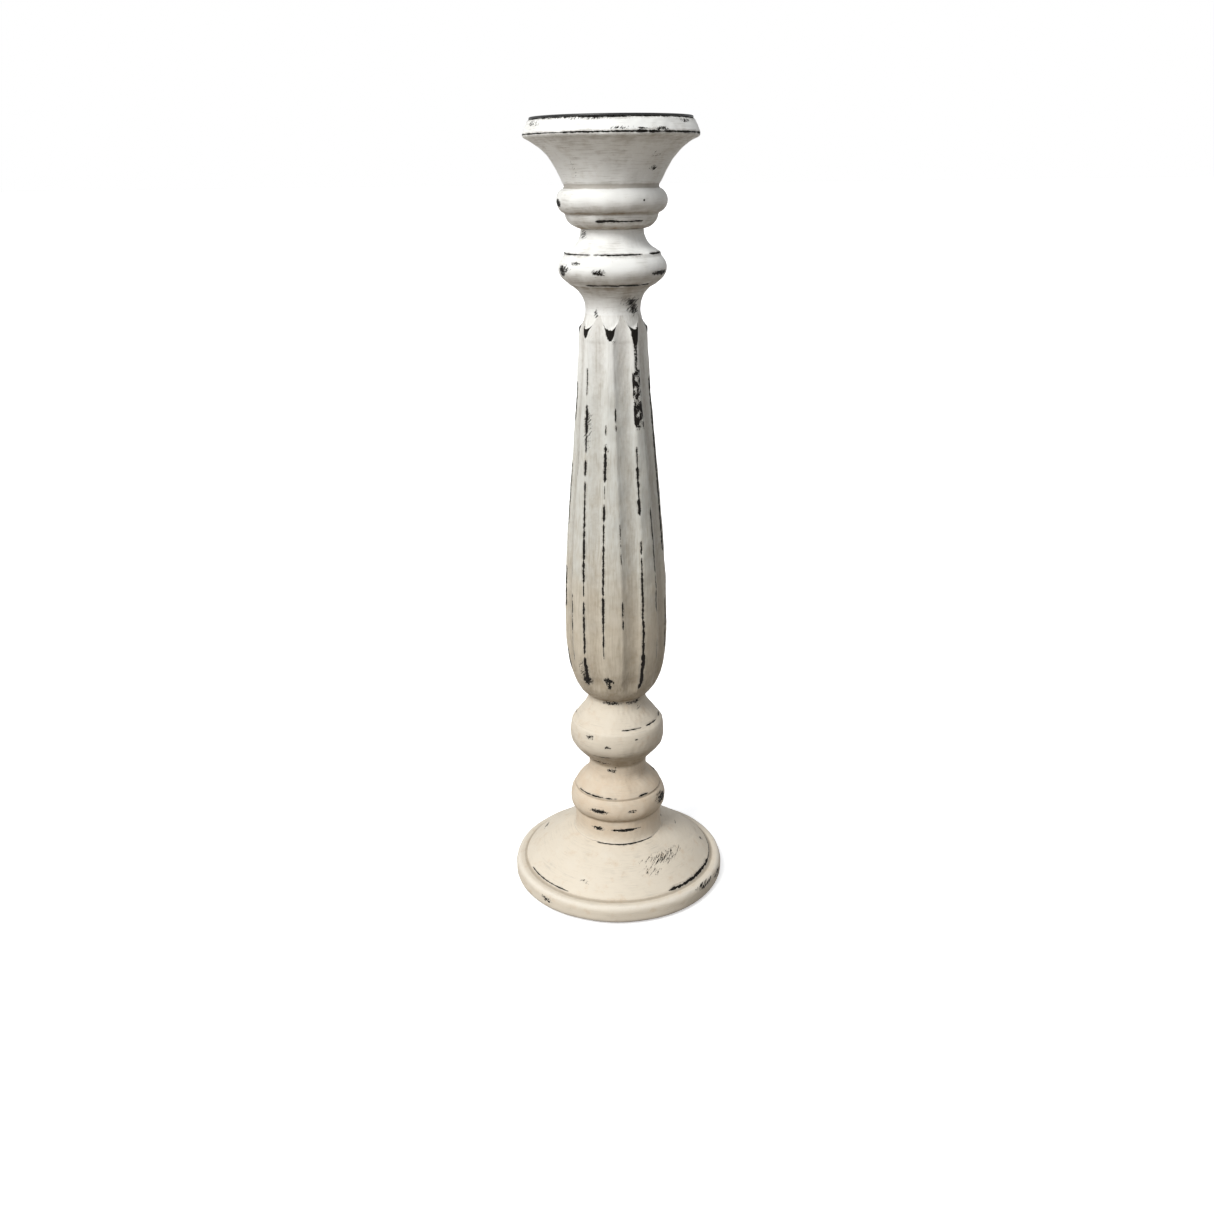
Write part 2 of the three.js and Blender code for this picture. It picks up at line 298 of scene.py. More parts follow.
# Clusters of short slanting scratches, in the same terms.
SCRATCHES = {
    "cup": [
        (50, 431.6, 9, 4, 1.15), (44, 438.0, 10, 6, 0.86), (58, 454.0, 9, 2.6, 1.0),
        (-60, 453.2, 18, 3.6, 1.0), (-16, 455.0, 34, 2.6, 1.0), (10, 450.2, 20, 2.2, 0.94),
        (-38, 432.0, 2.6, 13, 0.86),
    ],
    "column": [
        (41, 363.8, 16, 7, 1.1), (49, 359.5, 10, 8, 1.2), (-40, 296.0, 7, 26, 0.95),
        (-41, 149.5, 9, 15, 1.0), (-9, 283.0, 5, 20, 0.72), (4, 342.0, 4, 7, 0.8), (-34, 357.0, 4, 6, 1.0),
        (-60, 398.0, 8, 6, 1.12), (-57, 380.6, 12, 6, 1.08), (-12, 379.8, 9, 4.4, 1.14),
        (66, 58.5, 14, 9, 1.12), (-30, 85.6, 18, 4, 1.15), (48, 121.0, 8, 5, 0.8),
    ],
    "foot": [
        (45, 27.0, 36, 11, 0.98), (28, 24.0, 20, 9, 0.85), (58, 10.5, 22, 5, 1.14), (74, 8.0, 18, 6, 1.1),
    ],
}

# How far the hand-cut ribs wander from their even places, in degrees, at the shoulder and at the belly.
RIB_WANDER = {
    -1: (-5.0, -2.0),
    0: (-2.0, -0.5),
    1: (-3.5, 1.0),
    2: (1.5, -1.0),
    3: (-1.5, 1.0),
    4: (2.0, 0.5),
    5: (0.5, -1.5),
}


def wrapped(degrees):
    return (degrees + 180) % 360 - 180


def smooth(value, low, high):
    t = np.clip((value - low) / (high - low), 0, 1)
    return t * t * (3 - 2 * t)


def ripples(azimuth, along, radius, size, seed, waves=26):
    """Random relief of unit strength, with features about size mm across, that closes round the axis."""
    random = np.random.default_rng(seed)
    most_turns = max(1, int(2 * math.pi * radius / size))
    total = np.zeros(np.broadcast(azimuth, along).shape)
    for _ in range(waves):
        turns = random.integers(0, most_turns + 1)
        pace = random.uniform(-1, 1) * 2 * math.pi / size
        total += np.cos(turns * np.radians(azimuth) + pace * along + random.uniform(0, 2 * math.pi))
    return total / math.sqrt(waves / 2)


def arris_strokes(edge_names, seed):
    """The strokes on these edges: those listed round the front, and random ones round the back."""
    random = np.random.default_rng(seed)
    strokes = []
    for edge in edge_names:
        if edge not in ARRIS_STROKES:
            continue
        strokes += [(edge, *stroke) for stroke in ARRIS_STROKES[edge]]
        azimuth = 92.0 + random.uniform(0, 20)
        while azimuth < 262:
            length = random.uniform(8, 42)
            strokes.append((edge, azimuth, min(azimuth + length, 268), random.uniform(0.5, 1.6)))
            azimuth += length + random.uniform(6, 34)
    return strokes


def patches_on(table, piece, low, high, seed, count):
    """The patches of this table on this piece: those listed, and random ones round the back."""
    random = np.random.default_rng(seed)
    patches = list(table[piece])
    for _ in range(count):
        azimuth = random.uniform(95, 265)
        height = random.uniform(low, high)
        wide, tall = random.uniform(3, 11), random.uniform(2, 5)
        patches.append((azimuth, height, wide, tall, random.uniform(0.6, 1.05)))
    return patches


# ---- turned meshes ----


def in_scene(name, data):
    """A new object in the scene with this data."""
    made = bpy.data.objects.new(name, data)
    bpy.context.scene.collection.objects.link(made)
    return made


def mesh_of_rings(name, rings, attributes=None, start=None, end=None, closed=False):
    """An object from rings of points, in mm. It closes on itself, or in a point on the axis at each end."""
    count, facets, _ = rings.shape
    points = rings.reshape(-1, 3)
    i = np.arange(count if closed else count - 1)[:, None]
    j = np.arange(facets)[None, :]
    below, above = i * facets, (i + 1) % count * facets
    after = (j + 1) % facets
    quads = np.stack([below + j, below + after, above + after, above + j], axis=-1).reshape(-1, 4)
    faces = quads.tolist()
    extra = []
    for tip, ring, turn in ((start, 0, 1), (end, count - 1, -1)):
        if tip is None:
            continue
        centre = len(points) + len(extra)
        extra.append((0, 0, tip))
        loop = ring * facets + np.arange(facets)
        nexts = np.roll(loop, -1)
        pairs = zip(loop.tolist(), nexts.tolist())
        faces += [(centre, b, a) if turn > 0 else (centre, a, b) for a, b in pairs]
    if extra:
        points = np.vstack([points, np.array(extra, float)])
    mesh = bpy.data.meshes.new(name)
    mesh.from_pydata((points * MM).tolist(), [], faces)
    mesh.update()
    for key, values in (attributes or {}).items():
        flat = np.zeros(len(points), np.float32)
        flat[: count * facets] = np.broadcast_to(values, (count, facets)).ravel()
        mesh.attributes.new(key, "FLOAT", "POINT").data.foreach_set("value", flat)
    mesh.shade_smooth()
    return in_scene(name, mesh)


def placed(azimuth, radius, height):
    """Rings of points from radius and height at each azimuth."""
    turn = np.radians(azimuth - 90)
    return np.stack([radius * np.cos(turn), radius * np.sin(turn), height + 0 * radius], axis=-1)


def spun(outline, azimuth):
    """Radius and height over the grid of an outline's points and azimuths."""
    return outline[:, 0][:, None] + 0 * azimuth, outline[:, 1][:, None] + 0 * azimuth


def turned_wood(name, node, outline, facets, seed, inside, closed, shape=None, patch_count=10):
    """A painted wooden piece: its outside from the outline, then its hidden inside as plain corners."""
    azimuth = np.arange(facets) * 360 / facets
    azimuth = wrapped(azimuth)[None, :]
    along = outline.along[:, None]
    height = outline.height[:, None] + 0 * azimuth
    radius = outline.radius[:, None] + 0 * azimuth
    edge, wear = edges_of(outline, azimuth, seed)
    relief = outline.relief[:, None] + 0 * azimuth
    lengthwise = 0 * radius
    # How far the surface faces down; the paint is darkened there as painted shade.
    underside = np.clip(-outline.normal[:, 1], 0, 1)[:, None] + 0 * azimuth
    if shape is not None:
        radius, edge, wear, relief, lengthwise = shape(azimuth, height, radius, edge, wear, relief)
    rubbed = patch_strength(PATCHES, node, outline, azimuth, radius, seed + 1, patch_count)
    scratched = patch_strength(SCRATCHES, node, outline, azimuth, radius, seed + 5, patch_count // 3)
    if shape is not None:
        rubbed = np.maximum(rubbed, rib_end_marks(azimuth, height))
    uneven = 0.10 * ripples(azimuth, along, 30, 14, seed + 2)
    uneven = uneven + 0.035 * ripples(azimuth, along, 30, 4, seed + 3)
    chipped = smooth(wear * 0.5 + 0.5 * uneven * 4 - np.abs(edge), -0.3, 0.35) * np.minimum(wear, 1.5)
    chipped = chipped + 0.7 * smooth(rubbed + 0.35 * ripples(azimuth, along, 30, 3.5, seed + 4), 0.75, 1.15)
    sink = uneven - 0.16 * chipped
    fade = smooth(outline.along, 0, 4) * smooth(outline.along[-1] - outline.along, 0, 4)
    sink = sink * fade[:, None]
    normal = outline.normal
    radius = radius + sink * normal[:, 0][:, None]
    height = height + sink * normal[:, 1][:, None]
    values = {
        "edge_mm": edge,
        "edge_wear": wear,
        "rubbed": rubbed,
        "scratched": scratched,
        "relief_mm": relief,
        "underside": underside,
        "along_mm": along + 0 * azimuth,
        "lengthwise": lengthwise,
        "bare": 0 * radius,
    }
    rings = placed(azimuth, radius, height)
    hidden = np.array(inside, float)
    if len(hidden):
        rings = np.concatenate([rings, placed(azimuth, *spun(hidden, azimuth))])
        filler = {"edge_mm": 9.0, "bare": 1.0}
        for key, value in values.items():
            extra = np.full((len(hidden), facets), filler.get(key, 0.0))
            values[key] = np.concatenate([value, extra])
    return mesh_of_rings(name, rings, values, closed=closed)


def edges_of(outline, azimuth, seed):
    """Signed distance to the nearest arris, and how wide the rubbed line on it is."""
    names = list(outline.edges)
    places = np.array([outline.edges[n] for n in names])
    offsets = outline.along[:, None] - places[None, :]
    nearest = np.argmin(np.abs(offsets), axis=1)
    edge = offsets[np.arange(len(nearest)), nearest][:, None] + 0 * azimuth
    wear = np.zeros(edge.shape)
    for name, start, end, width in arris_strokes(names, seed):
        rows = nearest == names.index(name)
        middle, half = (start + end) / 2, (end - start) / 2
        away = np.abs(wrapped(azimuth - middle)) - half
        strength = width * smooth(-away, -3.0, 3.0)
        wear[rows] = np.maximum(wear[rows], strength)
    return edge, np.where(np.abs(edge) < 2.5, wear, 0)


def patch_strength(table, piece, outline, azimuth, radius, seed, count):
    """How strongly each place is rubbed by the patches of this table on this piece."""
    low, high = outline.height.min(), outline.height.max()
    total = np.zeros(radius.shape)
    for middle, height, wide, tall, strength in patches_on(table, piece, low, high, seed, count):
        across = np.radians(wrapped(azimuth - middle)) * radius / (wide / 2)
        up = (outline.along - outline.at_height(height))[:, None] / (tall / 2)
        total = np.maximum(total, strength * np.exp(-0.5 * (across**2 + up**2) ** 1.5))
    return total


# ---- fluted shaft ----


def rib_phase(azimuth, height):
    """(nearest rib, azimuth from its middle) once the hand-cut wander is taken out."""
    share = np.clip((height - BELLY) / (SHOULDER - BELLY), 0, 1)
    ribs = np.arange(-4, RIBS + 5)
    phase = np.zeros(np.broadcast(azimuth, height).shape)
    spans = []
    for rib in ribs:
        top, bottom = RIB_WANDER.get((rib + 2) % RIBS - 2, (0.0, 0.0))
        spans.append(PITCH * rib + bottom + (top - bottom) * share)
    for i, rib in enumerate(ribs[:-1]):
        t = (azimuth - spans[i]) / (spans[i + 1] - spans[i])
        phase = np.where((t >= 0) & (t < 1), rib + t, phase)
    nearest = np.round(phase)
    return nearest, (phase - nearest) * PITCH


def shoulder_line(off_rib):
    """The height of a rib's upper end: lowest on the middle of the rib and higher towards the flutes."""
    return SHOULDER + 3.7 * (np.abs(off_rib) / 14) ** 2


def fluted(azimuth, height, radius, edge, wear, relief):
    """Cuts the flutes into the shaft. Returns the new radius, edge, wear, relief and lengthwise grain."""
    shaft = shaft_curve()
    on_shaft = (height > SHAFT_BASE + 1) & (height < SHOULDER + 7)
    outer = np.interp(height, shaft[:, 1], shaft[:, 0])
    depth = FLUTE_DEPTH * smooth(height, 131.0, 143.0)
    neck = curve((17.25, SHOULDER - 7), (17.25, SHOULDER), (16.8, SHOULDER + 2.5), (15.8, SHOULDER + 6))
    low_neck = SHOULDER - 7
    floor = np.where(height < low_neck, outer - depth, np.interp(height, neck[:, 1], neck[:, 0]))
    thin = 0.35 * smooth(height, low_neck - 34, low_neck) * (outer - FLUTE_DEPTH - 16.9)
    floor = np.where(height < low_neck, floor - thin, floor)
    _, off_rib = rib_phase(azimuth, height)
    off_flute = PITCH / 2 - np.abs(off_rib)
    reach = floor + CUTTER_RADIUS
    turn = np.radians(off_flute)
    inside = np.maximum(CUTTER_RADIUS**2 - (reach * np.sin(turn)) ** 2, 0)
    cut = np.where(inside > 0, reach * np.cos(turn) - np.sqrt(inside), 1e3)
    blunt = 0.75
    blend = np.clip(0.5 + 0.5 * (cut - outer) / blunt, 0, 1)
    section = cut + (outer - cut) * blend - blunt * blend * (1 - blend)
    section = np.where(cut > outer + blunt, outer, section)
    present = smooth(shoulder_line(off_rib) - height, -0.55, 0.55)
    made = floor + (section - floor) * present
    made = np.where(height > SHOULDER + 6, radius, made)
    cosine = (outer**2 + reach**2 - CUTTER_RADIUS**2) / (2 * outer * reach)
    edge_angle = np.degrees(np.arccos(np.clip(cosine, -1, 1)))
    rib_edge = (off_flute - edge_angle) * np.radians(outer)
    ribbed = on_shaft & (height < shoulder_line(off_rib))
    edge = np.where(ribbed, rib_edge, edge)
    wear = np.where(ribbed, rib_wear(azimuth, height), np.where(on_shaft, 0, wear))
    shade = np.clip(0.125 * (made - outer + 0.4), -0.24, 0.1)
    relief = np.where(ribbed, shade, np.where(on_shaft, 0, relief))
    lengthwise = np.where(on_shaft, smooth(height, SHAFT_BASE + 1.5, SHAFT_BASE + 9), 0.0)
    return np.where(on_shaft, made, radius), edge, wear, relief, lengthwise


def rib_strokes():
    """The strokes on the rib edges: those listed for the front ribs, and random ones on the others."""
    random = np.random.default_rng(41)
    strokes = [(*place, *stroke) for place, group in RIB_STROKES.items() for stroke in group]
    for rib in (2, 3, 4, 5, -2):
        for side in (LEFT, RIGHT):
            height = random.uniform(130, 150)
            while height < SHOULDER - 20:
                length = random.uniform(6, 42)
                if (rib, side) != (2, LEFT):
                    strokes.append((rib, side, height, height + length, random.uniform(0.5, 1.8)))
                height += length + random.uniform(4, 32)
    return strokes


def rib_wear(azimuth, height):
    """The width of the rubbed line along the nearest rib edge."""
    nearest, off_rib = rib_phase(azimuth, height)
    rib_number = (nearest + 2) % RIBS - 2
    side = np.where(off_rib < 0, LEFT, RIGHT)
    width = np.zeros(height.shape)
    for rib, edge_side, low, high, most in rib_strokes():
        here = (rib_number == (rib + 2) % RIBS - 2) & (side == edge_side)
        strength = most * smooth(height, low - 1.2, low + 1.2) * smooth(-height, -high - 1.2, -high + 1.2)
        width = np.where(here, np.maximum(width, strength), width)
    return width


def rib_end_marks(azimuth, height):
    """The rubbed upper end of each rib, a dark wedge under the shoulder, and the rubbed face of one rib."""
    nearest, off_rib = rib_phase(azimuth, height)
    rib_number = (nearest + 2) % RIBS - 2
    drop = shoulder_line(off_rib) - height
    length = np.select([rib_number == 1, rib_number % 2 == 0], [9.5, 6.4], 5.6)
    widest = np.select([rib_number == 1, rib_number % 2 == 0], [8.2, 8.0], 6.8)
    share = np.clip(drop / length, 0, 1)
    half_width = widest * np.sqrt(1 - share**2) + 4.6 * np.exp(-((drop / 1.2) ** 2))
    wedge = smooth(half_width - np.abs(off_rib), -0.8, 0.8)
    wedge = wedge * smooth(drop, 0.05, 0.4) * smooth(-drop, -length - 0.4, -length + 0.8)
    arc = smooth(14.5 - np.abs(off_rib), 0, 3) * smooth(drop, 0.0, 0.25) * smooth(-drop, -1.0, -0.5)
    marks = 1.15 * np.maximum(wedge, 0.8 * arc)
    outer = smooth(8.8 - np.abs(off_rib - 0.4), -0.8, 0.8)
    rim = outer * smooth(np.abs(off_rib - 0.4), 4.8, 7.0)
    streak = (0.72 * outer + 0.16 * rim) * (1 + 0.22 * ripples(azimuth, height, 21, 4.5, 77))
    streak = streak * (rib_number == 1) * smooth(height, SHOULDER - 58, SHOULDER - 53)
    streak = streak * smooth(-height, -SHOULDER + 20, -SHOULDER + 24)
    dashes = 0.72 * smooth(3.6 - np.abs(off_rib + 0.5), -1.2, 1.2) * (rib_number == 1)
    dashes = dashes * smooth(height, SHOULDER - 26, SHOULDER - 22) * smooth(drop, 7, 9)
    return np.where(height > SHOULDER - 60, np.maximum(marks, np.maximum(streak, dashes)), 0.0)


# ---- materials ----


class Graph:
    """A material's node graph, with a short way to write each kind of node."""

    def __init__(self, name):
        self.material = bpy.data.materials.new(name)
        self.material.use_nodes = True
        self.tree = self.material.node_tree
        self.tree.nodes.clear()
        self.output = self.tree.nodes.new("ShaderNodeOutputMaterial")
        self.shader = self.tree.nodes.new("ShaderNodeBsdfPrincipled")
        self.tree.links.new(self.shader.outputs["BSDF"], self.output.inputs["Surface"])
        scaled = self.node("ShaderNodeVectorMath", operation="SCALE")
        place = self.tree.nodes.new("ShaderNodeTexCoord")
        self.tree.links.new(place.outputs["Object"], scaled.inputs[0])
        scaled.inputs["Scale"].default_value = 1 / MM
        self.place = scaled.outputs["Vector"]

    def node(self, kind, **settings):
        made = self.tree.nodes.new(kind)
        for key, value in settings.items():
            setattr(made, key, value)
        return made

    def feed(self, socket, value):
        if isinstance(value, bpy.types.NodeSocket):
            self.tree.links.new(value, socket)
        else:
            socket.default_value = value

    def set(self, key, value):
        """Feeds a value or a link to one of the shader's own sockets."""
        self.feed(self.shader.inputs[key], value)

    def attribute(self, name):
        return self.node("ShaderNodeAttribute", attribute_name=name).outputs["Fac"]

    def math(self, operation, *values):
        made = self.node("ShaderNodeMath", operation=operation)
        for socket, value in zip(made.inputs, values):
            self.feed(socket, value)
        return made.outputs[0]

    def add(self, *values):
        total = values[0]
        for value in values[1:]:
            total = self.math("ADD", total, value)
        return total

    def times(self, a, b):
        return self.math("MULTIPLY", a, b)

    def less(self, a, b):
        return self.math("SUBTRACT", a, b)

    def most(self, a, b):
        return self.math("MAXIMUM", a, b)

    def size_of(self, a):
        return self.math("ABSOLUTE", a)

    def step(self, value, low, high, to_low=0.0, to_high=1.0):
        """value mapped smoothly from low..high to to_low..to_high."""
        made = self.node("ShaderNodeMapRange", interpolation_type="SMOOTHSTEP")
        keys = ("Value", "From Min", "From Max", "To Min", "To Max")
        for key, number in zip(keys, (value, low, high, to_low, to_high)):
            self.feed(made.inputs[key], number)
        return made.outputs["Result"]

    def vector(self, x, y, z):
        made = self.node("ShaderNodeCombineXYZ")
        for socket, value in zip(made.inputs, (x, y, z)):
            self.feed(socket, value)
        return made.outputs[0]

    def parts(self, vector):
        made = self.node("ShaderNodeSeparateXYZ")
        self.feed(made.inputs[0], vector)
        return made.outputs

    def noise(self, scale, place=None, detail=2.0, roughness=0.5, distortion=0.0):
        """Noise around 0, about from -0.5 to 0.5, with scale features to the mm."""
        made = self.node("ShaderNodeTexNoise")
        self.feed(made.inputs["Vector"], place if place is not None else self.place)
        made.inputs["Scale"].default_value = scale
        made.inputs["Detail"].default_value = detail
        made.inputs["Roughness"].default_value = roughness
        made.inputs["Distortion"].default_value = distortion
        return self.math("SUBTRACT", made.outputs["Fac"], 0.5)

    def mix(self, share, a, b):
        made = self.node("ShaderNodeMix", data_type="RGBA", clamp_factor=True)
        self.feed(made.inputs["Factor"], share)
        for key, value in (("A", a), ("B", b)):
            socket = next(s for s in made.inputs if s.name == key and s.type == "RGBA")
            self.feed(socket, value if isinstance(value, bpy.types.NodeSocket) else (*value, 1.0))
        return next(s for s in made.outputs if s.type == "RGBA")

    def bump(self, height, depth):
        """A bump of that depth, in mm, where height is from 0 to 1."""
        made = self.node("ShaderNodeBump")
        made.inputs["Strength"].default_value = 1.0
        made.inputs["Distance"].default_value = depth * MM
        self.feed(made.inputs["Height"], height)
        self.feed(self.shader.inputs["Normal"], made.outputs["Normal"])


WHITE_PAINT = (0.88, 0.885, 0.865)
GREY_PAINT = (0.665, 0.68, 0.655)
# Cream and peach: painted warm bounce light towards the bottom, the peach also in blotches of tone.
CREAM_BOUNCE_TINT = (0.63, 0.565, 0.465)
PEACH_BOUNCE_AND_TONE = (0.57, 0.46, 0.34)
SHAFT_DARK_TONE = (0.37, 0.325, 0.245)
GREY_WASH = (0.33, 0.31, 0.27)
# Brown for dirt and the pores, and also for painted shade under overhangs and in the hollows.
BROWN_DIRT_AND_SHADE = (0.19, 0.14, 0.085)
UNDERCOAT = (0.008, 0.007, 0.006)
WORN_UNDERCOAT = (0.030, 0.025, 0.020)
BARE_WOOD = (0.30, 0.185, 0.10)
BARE_GRAIN = (0.13, 0.075, 0.04)


def painted_wood():
    """Chalky off-white paint over a near-black undercoat, rubbed through on the arrises and in patches, with
    painted shade under overhangs and in the hollows, and painted warm bounce light towards the bottom.
    """
    g = Graph("distressed_paint")
    x, y, z = g.parts(g.place)
    along = g.attribute("along_mm")
    lengthwise = g.attribute("lengthwise")

    # Brush marks run round the turned mouldings and along the shaft.
    round_marks = g.noise(1.0, g.vector(g.times(x, 0.10), g.times(y, 0.10), g.times(along, 1.5)), 4, 0.6)
    long_marks = g.noise(1.0, g.vector(g.times(x, 1.1), g.times(y, 1.1), g.times(z, 0.055)), 4, 0.6)
    marks = g.add(round_marks, g.times(lengthwise, g.less(long_marks, round_marks)))
    grain = g.noise(2.6, detail=3, roughness=0.6)
    clouds = g.noise(0.07, detail=3, roughness=0.55)
    blotches = g.noise(0.16, detail=4, roughness=0.6)
    fine = g.noise(1.3, detail=3, roughness=0.65)
    ragged = g.noise(0.45, detail=4, roughness=0.7)

    # Lines rubbed through along the arrises and the rib edges.
    edge = g.add(g.attribute("edge_mm"), g.times(ragged, 0.45), g.times(fine, 0.65))
    uneven = g.step(g.noise(0.30, detail=4, roughness=0.65), -0.26, 0.14, 0.10, 1.12)
    thick = g.times(g.attribute("edge_wear"), uneven)
    present = g.step(thick, 0.05, 0.25)
    line = g.step(g.less(g.times(thick, 0.44), g.size_of(edge)), -0.08, 0.02)
    line = g.times(line, present)

    # Patches rubbed through, broken up into flecks.
    flecks = g.noise(1.0, detail=5, roughness=0.75, distortion=0.4)
    rubbed = g.attribute("rubbed")
    broken = g.add(rubbed, g.times(marks, 0.9), g.times(flecks, 1.9), g.times(ragged, 0.8))
    patch = g.times(g.step(broken, 0.62, 0.70), g.step(rubbed, 0.10, 0.25))

    # Clusters of short slanting scratches.
    across = g.times(g.less(x, z), 1.45)
    slant = g.times(g.add(x, z), 0.22)
    hairs = g.noise(1.0, g.vector(across, slant, g.times(y, 0.2)), 4, 0.65)
    scratched = g.add(g.times(g.attribute("scratched"), 0.42), hairs, g.times(flecks, 0.35))
    patch = g.most(patch, g.step(scratched, 0.40, 0.47))

    # A few small specks anywhere.
    cells = g.node("ShaderNodeTexVoronoi")
    g.feed(cells.inputs["Vector"], g.place)
    cells.inputs["Scale"].default_value = 0.11
    chance = g.parts(cells.outputs["Color"])[0]
    size = g.step(chance, 0.80, 1.0, 0.0, 0.07)
    away = g.add(cells.outputs["Distance"], g.times(fine, 0.05))
    speck = g.step(g.less(size, away), 0.0, 0.012)
    worn = g.most(g.most(line, patch), speck)

    # The paint itself: whiter towards the top, cream and peach towards the bottom as painted warm bounce
    # light, peach clouds of tone, and a brown darkening in the hollows that is partly dirt and partly painted
    # shade.
    warm_bounce_tint = g.add(g.step(z, 255.0, 150.0), g.times(clouds, 0.9))
    greyness = g.add(g.step(z, 372.0, 275.0), g.times(clouds, 0.5))
    paint = g.mix(g.step(greyness, 0.0, 1.0), WHITE_PAINT, GREY_PAINT)
    paint = g.mix(g.step(warm_bounce_tint, -0.05, 1.0), paint, CREAM_BOUNCE_TINT)
    # The plinth band is peach as well: partly painted warm bounce light near the bottom, mottled by blotches
    # of tone.
    plinth = g.times(g.step(z, 30.0, 44.0), g.step(z, 96.0, 74.0, 0.0, 0.75))
    peach = g.times(g.step(blotches, 0.02, 0.22), g.step(warm_bounce_tint, 0.2, 1.2, 0.05, 0.6))
    plinth = g.times(plinth, g.add(0.9, g.times(blotches, 2.0)))
    paint = g.mix(g.most(peach, plinth), paint, PEACH_BOUNCE_AND_TONE)
    paint = g.mix(g.step(g.add(marks, g.times(clouds, 0.7)), 0.0, 0.38, 0.0, 0.42), paint, GREY_WASH)
    pores = g.step(g.add(g.noise(1.9, detail=2), g.times(blotches, 0.5)), 0.20, 0.30, 0.0, 0.40)
    paint = g.mix(pores, paint, BROWN_DIRT_AND_SHADE)
    # The shaft darker and browner towards its lower part, in streaks.
    streaks = g.add(1.0, g.times(long_marks, 2.2), g.times(blotches, 1.2))
    lower_shaft_darkening = g.times(lengthwise, g.step(z, 345.0, 190.0, 0.17, 0.47))
    paint = g.mix(g.times(lower_shaft_darkening, streaks), paint, SHAFT_DARK_TONE)
    relief = g.attribute("relief_mm")
    # Grooves and flute floors darkened brown: partly dirt, partly painted shade in the creases and flutes.
    hollow_dirt_and_shade = g.step(g.add(relief, g.times(ragged, 0.25)), -0.06, -0.45)
    paint = g.mix(g.times(hollow_dirt_and_shade, 0.55), paint, BROWN_DIRT_AND_SHADE)
    # Painted shade under overhangs: down-facing surfaces darkened brown, most under the cup's band and down
    # the lower shaft, broken by brush marks and blotches, and partly dirt.
    underside = g.attribute("underside")
    dirt_and_shade_amount = g.add(g.step(z, 426.0, 420.0, 0.0, 0.56), g.step(z, 230.0, 130.0, 0.0, 0.34))
    dirt_and_shade_amount = g.add(dirt_and_shade_amount, g.step(underside, 0.72, 0.92, 0.0, 0.34), g.times(marks, 0.8), g.times(blotches, 1.2))
    grime_and_painted_shade = g.most(g.times(underside, dirt_and_shade_amount), 0.0)
    paint = g.mix(grime_and_painted_shade, paint, BROWN_DIRT_AND_SHADE)
    crest = g.step(g.add(relief, g.times(fine, 0.4)), 0.12, 0.5, 0.0, 0.22)
    paint = g.mix(crest, paint, WHITE_PAINT)

    # A thin grey halo where the paint is rubbed thin, then the undercoat.
    worn_thin = g.add(g.times(thick, 0.8), g.times(blotches, 2.0))
    near_line = g.step(g.less(worn_thin, g.size_of(edge)), -0.75, 0.15, 0.0, 0.42)
    near_line = g.times(near_line, present)
    near_patch = g.times(g.step(broken, 0.46, 0.64, 0.0, 0.4), g.step(rubbed, 0.10, 0.25))
    paint = g.mix(g.most(near_line, near_patch), paint, GREY_WASH)
    dark = g.mix(g.step(g.add(grain, g.times(marks, 0.8)), -0.05, 0.35), UNDERCOAT, WORN_UNDERCOAT)
    colour = g.mix(worn, paint, dark)

    # Unpainted wood inside and underneath.
    rings = g.noise(1.0, g.vector(g.times(x, 0.05), g.times(y, 0.9), g.times(z, 0.9)), 4, 0.6, 0.6)
    wood = g.mix(g.step(rings, -0.2, 0.25), BARE_WOOD, BARE_GRAIN)
    bare = g.attribute("bare")
    colour = g.mix(bare, colour, wood)

    g.set("Base Color", colour)
    shine = g.add(0.66, g.times(marks, 0.25), g.times(fine, 0.2), g.times(worn, 0.06))
    g.set("Roughness", shine)
    g.set("Specular IOR Level", g.step(worn, 0.0, 1.0, 0.28, 0.10))
    height = g.add(g.times(marks, 0.45), g.times(fine, 0.28), g.times(grain, 0.12), g.times(worn, -0.6))
    g.bump(height, 0.16)
    return g.material


def black_enamel():
    """Satin black enamel on pressed steel, with a little dust and the finest scratches."""
    g = Graph("black_enamel")
    x, y, _ = g.parts(g.place)
    peel = g.noise(0.9, detail=2)
    dust = g.noise(2.4, detail=4, roughness=0.75)
    haze = g.noise(0.05, detail=3)
    hairs = g.noise(1.0, g.vector(g.times(x, 0.05), g.times(y, 2.2), 0.0), 2)
    colour = g.mix(g.step(dust, 0.20, 0.34, 0.0, 0.35), (0.010, 0.010, 0.0095), (0.11, 0.105, 0.095))
    rubbed = g.add(g.attribute("edge_mm"), g.times(g.noise(0.4, detail=4), 1.6))
    rubbed = g.step(rubbed, 0.45, -0.15, 0.0, 0.5)
    colour = g.mix(rubbed, colour, (0.075, 0.07, 0.065))
    g.set("Base Color", colour)
    shine = g.add(0.36, g.times(haze, 0.3), g.times(dust, 0.18), g.step(hairs, 0.22, 0.3, 0.0, 0.1))
    g.set("Roughness", shine)
    g.bump(g.add(g.times(peel, 0.5), g.times(dust, 0.12)), 0.05)
    return g.material


def zinc_plate():
    """Bright zinc on steel, with fine scratches and dull spots."""
    g = Graph("zinc_plate")
    x, y, z = g.parts(g.place)
    turned_lines = g.noise(1.0, g.vector(g.times(x, 0.4), g.times(y, 0.4), g.times(z, 5.0)), 3)
    spots = g.noise(0.7, detail=4, roughness=0.6)
    colour = g.mix(g.step(spots, -0.05, 0.25), (0.62, 0.63, 0.64), (0.40, 0.40, 0.38))
    g.set("Base Color", colour)
    g.set("Metallic", 1.0)
    g.set("Roughness", g.add(0.34, g.times(spots, 0.5), g.times(turned_lines, 0.2)))
    g.bump(g.add(g.times(turned_lines, 0.6), g.times(spots, 0.3)), 0.02)
    return g.material


